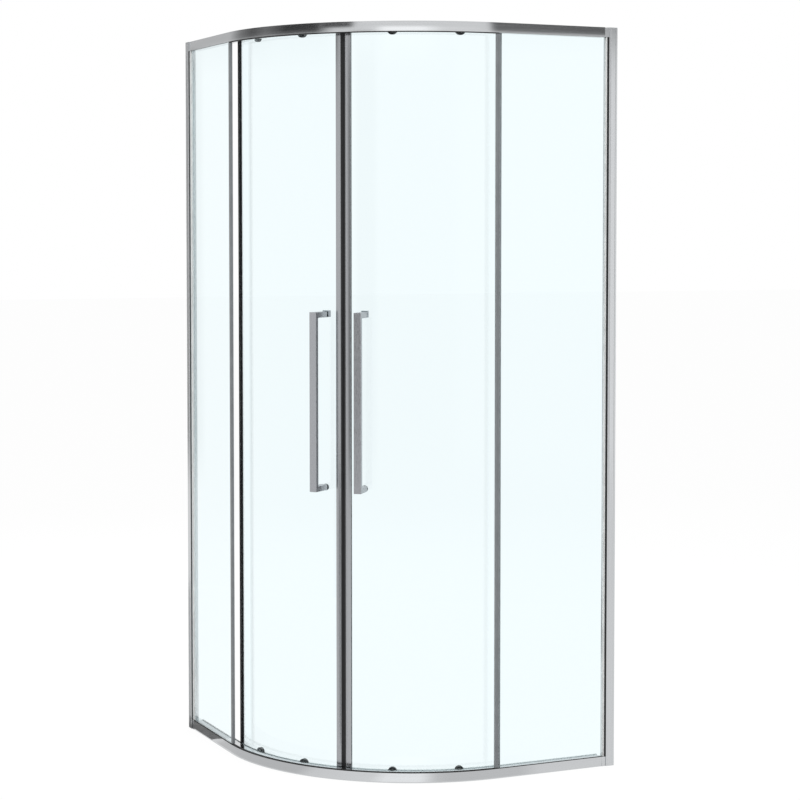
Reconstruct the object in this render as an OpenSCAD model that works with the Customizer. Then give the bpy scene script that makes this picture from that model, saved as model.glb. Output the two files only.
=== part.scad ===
/* [Enclosure] */
// Length along each wall, over the wall channels
size = 900; // [800:10:1000]
// Height of the rails' top face above the tray
height = 1980; // [1800:10:2100]
// Corner radius at the outermost line
corner_radius = 550; // [500:10:600]

/* [Glass] */
// Thickness of every pane
glass_t = 6; // [5:0.5:8]
// How far the fixed pane stops short of the curve's start (negative) or passes it
fixed_edge = -3; // [-10:1:5]
// Gap from a door pane's top and bottom edge to the ends of the enclosure
door_end_gap = 5; // [4:1:9]
// How far a closed door reaches past the curve's start, over the fixed pane
door_overlap = 26; // [15:1:35]

/* [Rails] */
// Height of a rail's face
rail_h = 26; // [25:0.5:30]
// Wall of the rail extrusion
rail_wall = 1.8; // [1.5:0.1:2.2]
// Thickness of the rail's base web
rail_base = 2; // [1.5:0.1:2.5]
// Width of the pocket that holds a fixed pane
pocket_w = 10; // [10:0.5:12]
// Clear width of the wheels' track
track_w = 18; // [18:0.5:22]
// Thickness of the two lips at the rail's open side
lip_t = 1.4; // [1.2:0.1:2]
// Height of the lip at the track's running face
lip_h = 2.7; // [2:0.1:3]
// Height of the lip at the rail's base
skirt_h = 4; // [2:0.5:5]
// Section of the wiper strip on the bottom rail
wiper_t = 2.2; // [1.5:0.1:3]

/* [Wall profiles] */
// Depth of the wall channel, out from the wall
channel_depth = 24.5; // [20:0.5:30]
// Wall of the wall channel
channel_wall = 2; // [1.5:0.1:2.5]
// Inside width of the wall channel
channel_inside = 22; // [21.6:0.1:24]
// Gap on each side between the channel and the post in it
post_fit = 0.2; // [0.1:0.05:0.3]
// How far the post's face stands out from the wall
post_reach = 35.7; // [34:0.1:45]
// Depth of the post
post_depth = 26; // [24:0.5:28]
// How deep the fixed pane's edge sits in the post
post_slot = 12; // [10:0.5:12]
// Thickness of the end covers
cover_t = 2; // [1.5:0.1:3]

/* [Wall fixings] */
// Radius of a wall screw's hole in the channel
wall_hole_r = 2.75; // [2:0.05:3.5]
// Distance between the outer pair of wall screws
wall_outer_pair = 1680; // [1500:10:1700]
// Distance between the inner pair of wall screws
wall_inner_pair = 600; // [400:10:900]
// Distance of the upper and lower adjusting screws from the ends
adjust_end = 240; // [200:5:300]
// Shank radius of an adjusting screw
adjust_r = 1.9; // [1.5:0.05:2.2]
// Head radius of an adjusting screw
adjust_head_r = 4; // [3.4:0.1:5]

/* [Rollers] */
// Wheel radius
wheel_r = 8; // [7:0.1:8.2]
// Wheel width
wheel_w = 4; // [3:0.1:4.4]
// Radius of a roller's axle
axle_r = 3; // [2.5:0.1:3.4]
// Distance of the trailing rollers from the curve's start
roller_near = 95; // [80:1:120]
// Distance of the leading rollers from the curve's start
roller_far = 291; // [280:1:320]
// Width of a top roller's carriage
carriage_w = 28; // [26:1:60]
// Height of a top roller's carriage
carriage_h = 28; // [26:1:40]
// Thickness of a top roller's carriage
carriage_t = 9; // [6:0.5:14]
// Radius of a bottom guide's body
guide_r = 12; // [10:0.5:20]
// Thickness of a bottom guide's body
guide_t = 12; // [8:0.5:16]
// How far a bottom guide's body stands above its axle
guide_rise = 3.1; // [2:0.1:9]

/* [Door edges] */
// Width of a meeting stile
stile_w = 13; // [12:0.5:18]
// Depth of a meeting stile
stile_d = 12; // [11:0.5:16]
// Thickness of a magnetic seal
magnet_seal_t = 5.1; // [4.6:0.1:8]
// Width of a magnetic seal
magnet_seal_w = 11; // [10:0.5:12]
// Section of the magnet in a seal
magnet_t = 2; // [1.5:0.1:2.5]
// Width of the magnet in a seal
magnet_w = 6; // [4:0.5:7]
// Width of a trailing seal
trail_w = 10; // [8:0.5:14]
// Wall of the clip-on seals
seal_wall = 1.2; // [0.8:0.1:1.4]

/* [Handle] */
// Overall length of a handle
handle_l = 470; // [300:10:600]
// Height of a handle's centre above the tray
handle_z = 995; // [900:5:1100]
// Width of a handle's bar
handle_w = 20; // [16:0.5:26]
// Thickness of a handle's bar
handle_t = 12; // [8:0.5:16]
// Clear space between a handle's bar and the glass
handle_gap = 52; // [40:1:60]
// Distance of a handle's centre line from the meeting line
handle_s = 60; // [45:1:90]
// Side of the square knob inside the glass
knob_w = 18; // [14:0.5:22]
// Thickness of the square knob
knob_t = 14; // [8:0.5:18]

/* [Hidden] */
$fn = 96;
eps = 0.01;
// Plan of the outline: the wall corner is at (half, half), the curve's centre at (centre, centre)
half = size / 2;
centre = corner_radius - half;
curve_half = corner_radius * PI / 4;
post_x = half - post_reach;
// Depths u are measured inwards from the outermost line
rail_face = channel_wall + post_fit;
pocket_u = rail_face + rail_wall;
fixed_u = pocket_u + (pocket_w - glass_t) / 2;
track_u = pocket_u + pocket_w + rail_wall;
// Room for the wheels and the panes to wander outwards as a door slides
wheel_wander = 7.9;
pane_wander = 6.2;
wheel_u = track_u + wheel_wander;
lip_u = track_u + track_w;
rail_inner = lip_u + lip_t;
door_u = rail_inner + pane_wander;
door_in = door_u + glass_t;
post_u = rail_face;
post_w = channel_inside - 2 * post_fit;
// Heights in a bottom rail; a top rail is the same turned over
ledge_z = rail_h - rail_wall;
wheel_gap = 0.3;
axle_z = ledge_z - wheel_gap - wheel_r;
axle_fit = 0.05;
screw_fit = 0.05;
hole_fit = 0.3;
flange_t = 1;
sleeve_fit = 0.2;
sleeve_gap = 0.2;
shank_fit = 0.1;
// Axle and its shoulder between the wheel and the glass; its head lies in the wheel's counterbore
axle_head_r = 4.5;
axle_head_t = 1;
head_sink = 0.1;
counterbore_t = head_sink + axle_head_t + wheel_gap;
shoulder_r = 5;
sleeve_r = 4;
// A bore's closed end in a housing, knob or nut, and the gap that a shank leaves there
bore_end = 2;
shank_gap = 0.5;
carriage_top = 3;
carriage_drop = carriage_top + carriage_h / 2;
carriage_corner = 13;
cap_z = axle_z + guide_rise;
seal_skin = 0.9;
tongue_w = 3;
tongue_d = 2;
meet_gap = 0.15;
stile_y = meet_gap + magnet_seal_t;
stile_web = 3;
glass_y = stile_y + stile_web;
stile_fit = 0.1;
magnet_end = 1;
magnet_fit = 0.1;
fixed_seal_w = 8;
fixed_seal_skin = 1;
fixed_seal_gap = 0.3;
gasket_rise = 2;
glass_seat = 4;
// How far a fixed pane's edge stays off the bottom of the post's slot
glass_end = 2;
block_l = 24;
block_fit = 0.1;
block_screw_r = 2;
block_head_r = 2.9;
block_head_t = 2.4;
block_screw_l = 16;
block_head_gap = 0.2;
block_end_gap = 1;
stop_s = 182.3;
stop_l = 14;
stop_h = 14;
wiper_meet = 6;
handle_bolt_r = 3;
handle_bolt_depth = 14;
handle_hole_r = 5;
handle_washer_r = 9;
// A washer's flat flange stands this far off the hollow of the pane
washer_lift = handle_washer_r * handle_washer_r / (2 * (corner_radius - door_in));
inner_seat = door_in + washer_lift + flange_t;
nut_r = 9;
nut_t = 4;
nut_cap = 1;
knob_cap = 3;
adjust_head_t = 2.4;
adjust_tip_gap = 0.4;
adjust_inset = 10;
clip_fit = 0.1;

// Everything is drawn for the right half, and the left half is its mirror image
module left_side() mirror([1, -1, 0]) children();
module both_sides() {
    children();
    left_side() children();
}
// Turns a bottom rail's fittings over for the top rail
module top_end() translate([0, 0, height]) mirror([0, 0, 1]) children();
module both_ends() {
    children();
    top_end() children();
}

function r_at(u) = corner_radius - u;
function turn_at(s) = 270 + s / corner_radius * 180 / PI;

// Frame on the curve, s along it from the right end: x points outwards, y along the curve
module at_curve(s) translate([centre, centre, 0]) rotate([0, 0, turn_at(s)]) children();
// Cylinder along the outward direction of that frame, from depth u1 out to depth u0
module radial_rod(u0, u1, r) {
    translate([r_at(u1), 0, 0]) rotate([0, 90, 0]) cylinder(h = u1 - u0, r = r);
}
module curved_wall(u0, u1, s0, s1, z0, z1) {
    translate([centre, centre, z0])
        rotate([0, 0, turn_at(s0)])
            rotate_extrude(angle = turn_at(s1) - turn_at(s0), $fn = 360)
                translate([r_at(u1), 0]) square([u1 - u0, z1 - z0]);
}
module straight_wall(u0, u1, x0, x1, z0, z1) {
    translate([x0, u0 - half, z0]) cube([x1 - x0, u1 - u0, z1 - z0]);
}

// Rails: pocket for the fixed pane, then the wheels' track, open to the inside
module rail_section() {
    translate([rail_face, 0]) square([rail_inner - rail_face, rail_base]);
    translate([rail_face, 0]) square([rail_wall, rail_h]);
    translate([track_u - rail_wall, 0]) square([rail_wall, rail_h]);
    translate([track_u - rail_wall, ledge_z]) square([rail_inner - track_u + rail_wall, rail_wall]);
    translate([lip_u, ledge_z - lip_h]) square([lip_t, lip_h + rail_wall]);
    translate([lip_u, 0]) square([lip_t, rail_base + skirt_h]);
}
module rail_straight() {
    translate([centre, -half, 0])
        rotate([90, 0, 90]) linear_extrude(post_x - centre) rail_section();
}
module rail() {
    both_sides() rail_straight();
    translate([centre, centre, 0])
        rotate([0, 0, 180])
            rotate_extrude(angle = 90, $fn = 360)
                translate([corner_radius, 0]) mirror([1, 0]) rail_section();
}
module bottom_rail() color("silver") rail();
module top_rail() color("silver") top_end() rail();

// Wall channel, with its screw holes
module wall_channel() {
    difference() {
        straight_wall(0, channel_inside + 2 * channel_wall, half - channel_depth, half, 0, height - cover_t);
        straight_wall(channel_wall, channel_wall + channel_inside,
            half - channel_depth - eps, half - channel_wall, -eps, height);
        for (pair = [wall_outer_pair, wall_inner_pair])
            for (side = [-1, 1])
                translate([half - channel_wall - 1, post_u + post_w / 2 - half, (height + side * pair) / 2])
                    rotate([0, 90, 0]) cylinder(h = channel_wall + 2, r = wall_hole_r);
        adjusting_places()
            cylinder(h = channel_wall + post_fit + 1, r = adjust_r + hole_fit);
    }
}
// Places of the adjusting screws, z pointing out of the post's room side
module adjusting_places() {
    for (z = [adjust_end, height / 2, height - adjust_end])
        translate([half - channel_depth + adjust_inset, post_u + post_w - half, z])
            rotate([-90, 0, 0]) children();
}
module left_wall_channel() color("gainsboro") left_side() wall_channel();
module right_wall_channel() color("gainsboro") wall_channel();

// Post: a slot for the pane and a box behind the track
module wall_post() {
    back = post_x + post_depth;
    difference() {
        straight_wall(post_u, post_u + post_w, post_x, back, 0, height - cover_t);
        straight_wall(pocket_u, pocket_u + pocket_w, post_x - eps, post_x + post_slot, -eps, height);
        straight_wall(pocket_u, pocket_u + pocket_w,
            post_x + post_slot + rail_wall, back - rail_wall, -eps, height);
        straight_wall(track_u, post_u + post_w - rail_wall,
            post_x + rail_wall, back - rail_wall, -eps, height);
        adjusting_places()
            translate([0, 0, -rail_wall - 1]) cylinder(h = rail_wall + 2, r = adjust_r + screw_fit);
        both_ends() corner_place()
            translate([0, 0, -rail_wall - 1]) cylinder(h = rail_wall + 2, r = block_screw_r + hole_fit);
    }
}
module left_wall_post() color("silver") left_side() wall_post();
module right_wall_post() color("silver") wall_post();

// Fixed pane: its three framed edges sit in the gasket
module fixed_pane() {
    straight_wall(fixed_u, fixed_u + glass_t, centre + fixed_edge, post_x + post_slot - glass_end,
        rail_base + glass_seat, height - rail_base - glass_seat);
}
module left_fixed_glass() color("lightcyan", 0.4) left_side() fixed_pane();
module right_fixed_glass() color("lightcyan", 0.4) fixed_pane();

module glazing_gasket() {
    top = height - rail_h;
    difference() {
        union() {
            both_ends() {
                straight_wall(pocket_u, pocket_u + pocket_w, centre, post_x, rail_base, rail_h);
                straight_wall(fixed_u + glass_t, pocket_u + pocket_w, centre, post_x,
                    rail_h - eps, rail_h + gasket_rise);
            }
            straight_wall(pocket_u, pocket_u + pocket_w, post_x - eps, post_x + post_slot,
                rail_base, height - rail_base);
            straight_wall(fixed_u + glass_t, pocket_u + pocket_w, post_x - gasket_rise, post_x,
                rail_h, top);
        }
        fixed_pane();
    }
}
module left_glazing_gasket() color("black") left_side() glazing_gasket();
module right_glazing_gasket() color("black") glazing_gasket();

// Clip on the fixed pane's free edge
module edge_seal() {
    x0 = centre + fixed_edge - seal_wall;
    z0 = rail_h + gasket_rise + fixed_seal_gap;
    difference() {
        straight_wall(fixed_u - fixed_seal_skin, fixed_u + glass_t + fixed_seal_skin, x0, x0 + fixed_seal_w,
            z0, height - z0);
        straight_wall(fixed_u, fixed_u + glass_t, centre + fixed_edge, x0 + fixed_seal_w + 1, 0, height);
        straight_wall(fixed_u + glass_t - eps, fixed_u + glass_t + 2 * fixed_seal_skin, centre,
            x0 + fixed_seal_w + 1, 0, z0 + gasket_rise);
    }
}
module left_edge_seal() color("gray") left_side() edge_seal();
module right_edge_seal() color("gray") edge_seal();

// Wiper strip on the inner top edge of the bottom rail
module wiper() {
    curved_wall(rail_inner - wiper_t, rail_inner, wiper_meet - curve_half, 0, rail_h, rail_h + wiper_t);
    straight_wall(rail_inner - wiper_t, rail_inner, centre - eps, post_x, rail_h, rail_h + wiper_t);
}
module left_wiper() color("black") left_side() wiper();
module right_wiper() color("black") wiper();

// Corner blocks join the rails to the posts inside the track
module corner_place() {
    translate([post_x + rail_wall, track_u + block_head_r + block_head_gap - half, rail_h / 2])
        rotate([0, 90, 0]) children();
}
module corner_block() {
    difference() {
        straight_wall(track_u + block_fit, lip_u - block_fit, post_x - block_l, post_x,
            rail_base + block_fit, ledge_z - block_fit);
        corner_place()
            translate([0, 0, -rail_wall - block_screw_l - 1])
                cylinder(h = block_screw_l + 2, r = block_screw_r + screw_fit);
    }
}
module corner_blocks() color("dimgray") both_sides() both_ends() corner_block();

module corner_screw() {
    corner_place() {
        cylinder(h = block_head_t, r = block_head_r);
        translate([0, 0, block_end_gap - rail_wall - block_screw_l])
            cylinder(h = block_screw_l + rail_wall, r = block_screw_r);
    }
}
module corner_screws() color("lightsteelblue") both_sides() both_ends() corner_screw();

module adjusting_screw() {
    out = channel_wall + post_fit;
    in = post_u + post_w - track_u - adjust_tip_gap;
    translate([0, 0, -in]) cylinder(h = in + out, r = adjust_r);
    translate([0, 0, out]) cylinder(h = adjust_head_t, r = adjust_head_r);
}
module adjusting_screws() color("lightsteelblue") both_sides() adjusting_places() adjusting_screw();

module end_cover() {
    straight_wall(0, channel_inside + 2 * channel_wall, half - channel_depth, half, height - cover_t, height);
    straight_wall(post_u, post_u + post_w, post_x, half - channel_depth + eps, height - cover_t, height);
}
module end_covers() color("whitesmoke") both_sides() end_cover();

// Rubber stops that end the doors' travel, in the top rail
module door_stop() {
    straight_wall(track_u, lip_u, centre + stop_s, centre + stop_s + stop_l, ledge_z - stop_h, ledge_z);
}
module door_stops() color("black") both_sides() top_end() door_stop();

// Door pane, with holes for the rollers and the handle
module roller_places() {
    for (s = [roller_near, roller_far])
        at_curve(-s) both_ends() translate([0, 0, axle_z]) children();
}
module handle_bolt_places() {
    foot = handle_l / 2 - handle_t / 2;
    for (side = [-1, 1])
        at_curve(handle_s - curve_half) translate([0, 0, handle_z + side * foot]) children();
}
module door_pane() {
    pane_s = glass_y / r_at(door_u) * corner_radius - curve_half;
    difference() {
        curved_wall(door_u, door_in, pane_s, door_overlap, door_end_gap, height - door_end_gap);
        roller_places() radial_rod(door_u - 2, door_in + 2, sleeve_r + hole_fit);
        handle_bolt_places() radial_rod(door_u - 2, door_in + 2, handle_hole_r);
    }
}
module left_door_glass() color("lightcyan", 0.4) left_side() door_pane();
module right_door_glass() color("lightcyan", 0.4) door_pane();

// Meeting stile: grips the pane and holds the magnetic seal's tongue
module meeting_frame() at_curve(-curve_half) children();
module meeting_stile() {
    mid_u = (door_u + door_in) / 2;
    difference() {
        meeting_frame()
            translate([r_at(mid_u) - stile_d / 2, stile_y, door_end_gap])
                cube([stile_d, stile_w, height - 2 * door_end_gap]);
        curved_wall(door_u - stile_fit, door_in + stile_fit, glass_y - curve_half, 0, 0, height);
        meeting_frame()
            translate([r_at(mid_u) - tongue_w / 2 - stile_fit, stile_y - 1, 0])
                cube([tongue_w + 2 * stile_fit, tongue_d + 1 + stile_fit, height]);
    }
}
module left_meeting_stile() color("silver") left_side() meeting_stile();
module right_meeting_stile() color("silver") meeting_stile();

module magnet_bar(grow) {
    mid_u = (door_u + door_in) / 2;
    z0 = door_end_gap + magnet_end - grow;
    meeting_frame()
        translate([r_at(mid_u) - magnet_w / 2 - grow, meet_gap + seal_skin - grow, z0])
            cube([magnet_w + 2 * grow, magnet_t + 2 * grow, height - 2 * z0]);
}
module magnet_seal() {
    mid_u = (door_u + door_in) / 2;
    difference() {
        meeting_frame() {
            translate([r_at(mid_u) - magnet_seal_w / 2, meet_gap, door_end_gap])
                cube([magnet_seal_w, magnet_seal_t, height - 2 * door_end_gap]);
            translate([r_at(mid_u) - tongue_w / 2, stile_y - eps, door_end_gap])
                cube([tongue_w, tongue_d, height - 2 * door_end_gap]);
        }
        magnet_bar(magnet_fit);
    }
}
module left_magnet_seal() color("black") left_side() magnet_seal();
module right_magnet_seal() color("black") magnet_seal();
module left_magnet() color("dimgray") left_side() magnet_bar(0);
module right_magnet() color("dimgray") magnet_bar(0);

// Clip on a door pane's trailing edge
module trailing_seal() {
    difference() {
        at_curve(door_overlap)
            translate([r_at(door_in) - seal_wall, seal_wall - trail_w, door_end_gap])
                cube([glass_t + 2 * seal_wall, trail_w, height - 2 * door_end_gap]);
        curved_wall(door_u - clip_fit, door_in + clip_fit, -roller_near, door_overlap + clip_fit, 0, height);
    }
}
module left_trailing_seal() color("dimgray") left_side() trailing_seal();
module right_trailing_seal() color("dimgray") trailing_seal();

// Handle: a square-cut bar with a foot at each end
module handle() {
    foot_in = r_at(door_u - flange_t);
    bar_in = r_at(door_u) + handle_gap;
    bore_u = door_u - flange_t - handle_bolt_depth - shank_gap;
    z0 = handle_z - handle_l / 2;
    difference() {
        at_curve(handle_s - curve_half) {
            translate([bar_in, -handle_w / 2, z0]) cube([handle_t, handle_w, handle_l]);
            for (z = [z0, z0 + handle_l - handle_t])
                translate([foot_in, -handle_w / 2, z]) cube([bar_in - foot_in + eps, handle_w, handle_t]);
        }
        handle_bolt_places() radial_rod(bore_u, door_u + 1, handle_bolt_r + screw_fit);
    }
}
module left_handle() color("silver") left_side() handle();
module right_handle() color("silver") handle();

// Shouldered nylon washers keep the metal off the glass, two to a hole
module glass_washer(hole_r, bore_r, flange_r) {
    half_t = (glass_t - sleeve_gap) / 2;
    difference() {
        union() {
            radial_rod(door_u - flange_t, door_u, flange_r);
            radial_rod(door_u - eps, door_u + half_t, hole_r - sleeve_fit);
            radial_rod(door_in + washer_lift, inner_seat, flange_r);
            radial_rod(door_in - half_t, door_in + washer_lift + eps, hole_r - sleeve_fit);
        }
        radial_rod(door_u - flange_t - 1, inner_seat + 1, bore_r);
    }
}
module handle_washers() {
    flange_r = min(handle_washer_r, handle_t / 2);
    handle_bolt_places() glass_washer(handle_hole_r, handle_bolt_r + shank_fit, flange_r);
}
module left_handle_washers() color("white") left_side() handle_washers();
module right_handle_washers() color("white") handle_washers();

// Upper bolt: square knob inside; lower bolt: round cap nut
module handle_knob() {
    difference() {
        at_curve(handle_s - curve_half)
            translate([r_at(inner_seat + knob_t), -knob_w / 2,
                handle_z + handle_l / 2 - handle_t / 2 - knob_w / 2])
                cube([knob_t, knob_w, knob_w]);
        handle_bolt_places() radial_rod(door_u, inner_seat + knob_t - knob_cap, handle_bolt_r + screw_fit);
    }
}
module left_handle_knob() color("silver") left_side() handle_knob();
module right_handle_knob() color("silver") handle_knob();

module handle_nut() {
    difference() {
        at_curve(handle_s - curve_half)
            translate([0, 0, handle_z - handle_l / 2 + handle_t / 2])
                radial_rod(inner_seat, inner_seat + nut_t, nut_r);
        handle_bolt_places() radial_rod(door_u, inner_seat + nut_t - nut_cap, handle_bolt_r + screw_fit);
    }
}
module left_handle_nut() color("silver") left_side() handle_nut();
module right_handle_nut() color("silver") handle_nut();

module handle_bolts() {
    tip_u = inner_seat + nut_t - nut_cap - shank_gap;
    handle_bolt_places() radial_rod(door_u - flange_t - handle_bolt_depth, tip_u, handle_bolt_r);
}
module left_handle_bolts() color("lightsteelblue") left_side() handle_bolts();
module right_handle_bolts() color("lightsteelblue") handle_bolts();

// Top roller carriage: a housing with full rounded corners on the pane's inner face
module rounded_plate(w, h, t, r) {
    rotate([90, 0, 90]) linear_extrude(t) {
        translate([-w / 2, -h / 2 + r]) square([w, h - 2 * r]);
        translate([-w / 2 + r, -h / 2]) square([w - 2 * r, h]);
        for (x = [-1, 1])
            for (y = [-1, 1])
                translate([x * (w / 2 - r), y * (h / 2 - r)]) circle(r);
    }
}
module carriages() {
    bore_u = inner_seat + carriage_t - bore_end;
    for (s = [roller_near, roller_far])
        top_end() at_curve(-s)
            difference() {
                translate([r_at(inner_seat + carriage_t), 0, carriage_drop])
                    rounded_plate(carriage_w, carriage_h, carriage_t, carriage_corner);
                translate([0, 0, axle_z]) radial_rod(inner_seat - 1, bore_u, axle_r + screw_fit);
            }
}
module left_carriages() color("black") left_side() carriages();
module right_carriages() color("black") carriages();

// Bottom guide: a round housing on the pane's inner face
module guides() {
    bore_u = inner_seat + guide_t - bore_end;
    for (s = [roller_near, roller_far])
        at_curve(-s)
            difference() {
                translate([0, 0, cap_z]) radial_rod(inner_seat, inner_seat + guide_t, guide_r);
                translate([0, 0, axle_z]) radial_rod(inner_seat - 1, bore_u, axle_r + screw_fit);
            }
}
module left_guides() color("black") left_side() guides();
module right_guides() color("black") guides();

// Axle: head, wheel seat, shoulder against the glass, and the end in the housing
module axles() {
    shoulder_u = wheel_u + wheel_w / 2 + wheel_gap;
    head_u = wheel_u - wheel_w / 2 + head_sink;
    tip_u = inner_seat + min(carriage_t, guide_t) - bore_end - shank_gap;
    roller_places() {
        radial_rod(head_u, head_u + axle_head_t, axle_head_r);
        radial_rod(head_u + axle_head_t - eps, tip_u, axle_r);
        radial_rod(shoulder_u, door_u - flange_t, shoulder_r);
    }
}
module left_axles() color("lightsteelblue") left_side() axles();
module right_axles() color("lightsteelblue") axles();

module axle_washers() {
    roller_places() glass_washer(sleeve_r + hole_fit, axle_r + shank_fit, shoulder_r);
}
module left_axle_washers() color("white") left_side() axle_washers();
module right_axle_washers() color("white") axle_washers();

module wheel(s) {
    outer_u = wheel_u - wheel_w / 2;
    at_curve(-s) translate([0, 0, axle_z])
        difference() {
            radial_rod(outer_u, outer_u + wheel_w, wheel_r);
            radial_rod(outer_u - 1, outer_u + wheel_w + 1, axle_r + axle_fit);
            radial_rod(outer_u - 1, outer_u + counterbore_t, axle_head_r + hole_fit);
        }
}
module right_near_wheel() color("white") top_end() wheel(roller_near);
module right_far_wheel() color("white") top_end() wheel(roller_far);
module right_near_guide_wheel() color("white") wheel(roller_near);
module right_far_guide_wheel() color("white") wheel(roller_far);
module left_near_wheel() left_side() right_near_wheel();
module left_far_wheel() left_side() right_far_wheel();
module left_near_guide_wheel() left_side() right_near_guide_wheel();
module left_far_guide_wheel() left_side() right_far_guide_wheel();

top_rail();
bottom_rail();
left_wall_channel();
right_wall_channel();
left_wall_post();
right_wall_post();
left_fixed_glass();
right_fixed_glass();
left_glazing_gasket();
right_glazing_gasket();
left_edge_seal();
right_edge_seal();
left_wiper();
right_wiper();
corner_blocks();
corner_screws();
adjusting_screws();
end_covers();
door_stops();
left_door_glass();
right_door_glass();
left_meeting_stile();
right_meeting_stile();
left_magnet_seal();
right_magnet_seal();
left_magnet();
right_magnet();
left_trailing_seal();
right_trailing_seal();
left_handle();
right_handle();
left_handle_washers();
right_handle_washers();
left_handle_knob();
right_handle_knob();
left_handle_nut();
right_handle_nut();
left_handle_bolts();
right_handle_bolts();
left_carriages();
right_carriages();
left_guides();
right_guides();
left_axles();
right_axles();
left_axle_washers();
right_axle_washers();
left_near_wheel();
right_near_wheel();
left_far_wheel();
right_far_wheel();
left_near_guide_wheel();
right_near_guide_wheel();
left_far_guide_wheel();
right_far_guide_wheel();
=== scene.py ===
"""A quadrant shower enclosure: its finished pieces and its stage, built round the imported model."""

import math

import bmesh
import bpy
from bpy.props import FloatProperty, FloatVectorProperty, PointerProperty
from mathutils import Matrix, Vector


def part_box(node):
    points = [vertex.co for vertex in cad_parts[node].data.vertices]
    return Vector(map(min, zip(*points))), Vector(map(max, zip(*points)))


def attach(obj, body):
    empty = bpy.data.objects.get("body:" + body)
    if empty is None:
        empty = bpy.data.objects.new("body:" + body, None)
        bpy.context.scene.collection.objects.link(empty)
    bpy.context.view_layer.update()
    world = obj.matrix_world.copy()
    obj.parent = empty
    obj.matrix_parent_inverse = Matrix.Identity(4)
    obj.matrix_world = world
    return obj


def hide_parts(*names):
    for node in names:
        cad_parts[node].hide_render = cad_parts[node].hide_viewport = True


bl_info = {
    "name": "Quadrant Shower Enclosure",
    "version": (1, 0, 0),
    "blender": (4, 5, 0),
    "location": "3D View > Sidebar > Shower",
    "description": "Builds the profiles, panes, seals, handles and rollers of a quadrant shower enclosure",
    "category": "Add Mesh",
}

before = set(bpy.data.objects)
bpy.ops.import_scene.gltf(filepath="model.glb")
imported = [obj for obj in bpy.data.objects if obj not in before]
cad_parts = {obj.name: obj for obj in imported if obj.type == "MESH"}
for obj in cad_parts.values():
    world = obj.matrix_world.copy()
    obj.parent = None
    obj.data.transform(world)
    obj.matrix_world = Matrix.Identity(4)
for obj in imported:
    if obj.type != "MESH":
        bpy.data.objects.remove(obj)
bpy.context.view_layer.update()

MM = 0.001

# Places that the frame gives; a depth is measured inwards from the outermost line
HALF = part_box("right_wall_channel")[1].x
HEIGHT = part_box("end_covers")[1].z
RAIL_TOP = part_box("bottom_rail")[1].z
RAIL_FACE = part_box("bottom_rail")[0].y + HALF
POST_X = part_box("right_wall_post")[0].x
PANE_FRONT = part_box("right_fixed_glass")[0].y + HALF
PANE_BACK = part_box("right_fixed_glass")[1].y + HALF
GLASS = PANE_BACK - PANE_FRONT
DOOR_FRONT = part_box("right_door_glass")[0].y + HALF
DOOR_BACK = DOOR_FRONT + GLASS
DOOR_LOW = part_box("right_door_glass")[0].z
DOOR_HIGH = HEIGHT - DOOR_LOW
AXLE_Z = (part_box("right_near_guide_wheel")[0].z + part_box("right_near_guide_wheel")[1].z) / 2
HANDLE_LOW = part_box("right_handle")[0].z
HANDLE_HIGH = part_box("right_handle")[1].z

# How far a pane reaches into the slot of a post
POST_SLOT = 12 * MM
# Steps of a sweep round the whole curve, and of one round a door
CURVE_STEPS = 112
DOOR_STEPS = 96

# Swaps x and y, which turns a right-hand piece into the left-hand one
MIRRORED = Matrix(((0, 1, 0, 0), (1, 0, 0, 0), (0, 0, 1, 0), (0, 0, 0, 1)))
# Turns a piece of the bottom rail over for the top rail
TURNED_OVER = Matrix.Translation((0, 0, HEIGHT)) @ Matrix.Diagonal((1, 1, -1, 1))


def linear(hex_colour):
    """An sRGB hex colour as linear red, green, blue and alpha."""
    parts = [int(hex_colour[i:i + 2], 16) / 255 for i in (1, 3, 5)]
    return [c / 12.92 if c <= 0.04045 else ((c + 0.055) / 1.055) ** 2.4 for c in parts] + [1.0]


def length(label, text, default):
    """A length property in metres."""
    return FloatProperty(name=label, description=text, default=default, unit="LENGTH", precision=4)


def colour(label, text, hex_colour):
    """A colour property, given as sRGB hex."""
    return FloatVectorProperty(name=label, description=text, subtype="COLOR", size=4, default=linear(hex_colour))


class ShowerPlan(bpy.types.PropertyGroup):
    """Sizes of the plan and of the aluminium profiles"""
    corner_radius: length("Corner radius", "Radius of the outermost line", 0.55)
    wall: length("Rail wall", "Thickness of a rail's webs", 0.0018)
    base: length("Rail base", "Thickness of a rail's base web", 0.002)
    pocket: length("Pane pocket", "Width of the pocket that holds a fixed pane", 0.010)
    track: length("Track", "Width of the wheels' track", 0.018)
    lip: length("Track lip", "Thickness of the lips at the track's open side", 0.0014)
    lip_drop: length("Lip height", "Height of the lip at the running face", 0.0027)
    skirt: length("Skirt height", "Height of the lip at the base", 0.004)
    crown: length("Face crown", "How far a rail's face bulges between its edges", 0.0004)
    lean: length("Face lean", "How far a rail's face falls back towards its outer edge", 0.0014)
    channel_wall: length("Channel wall", "Thickness of the wall channel", 0.002)
    groove: length("Groove", "Depth of the fine grooves in the uprights", 0.0003)
    nose: length("Post nose", "How far a post stands back from the rails' ends", 0.006)
    wall_hole: length("Wall hole", "Radius of a wall screw's hole", 0.00275)
    wall_outer_pair: length("Outer pair", "Distance between the outer pair of wall screws", 1.68)
    wall_inner_pair: length("Inner pair", "Distance between the inner pair of wall screws", 0.6)


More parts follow.
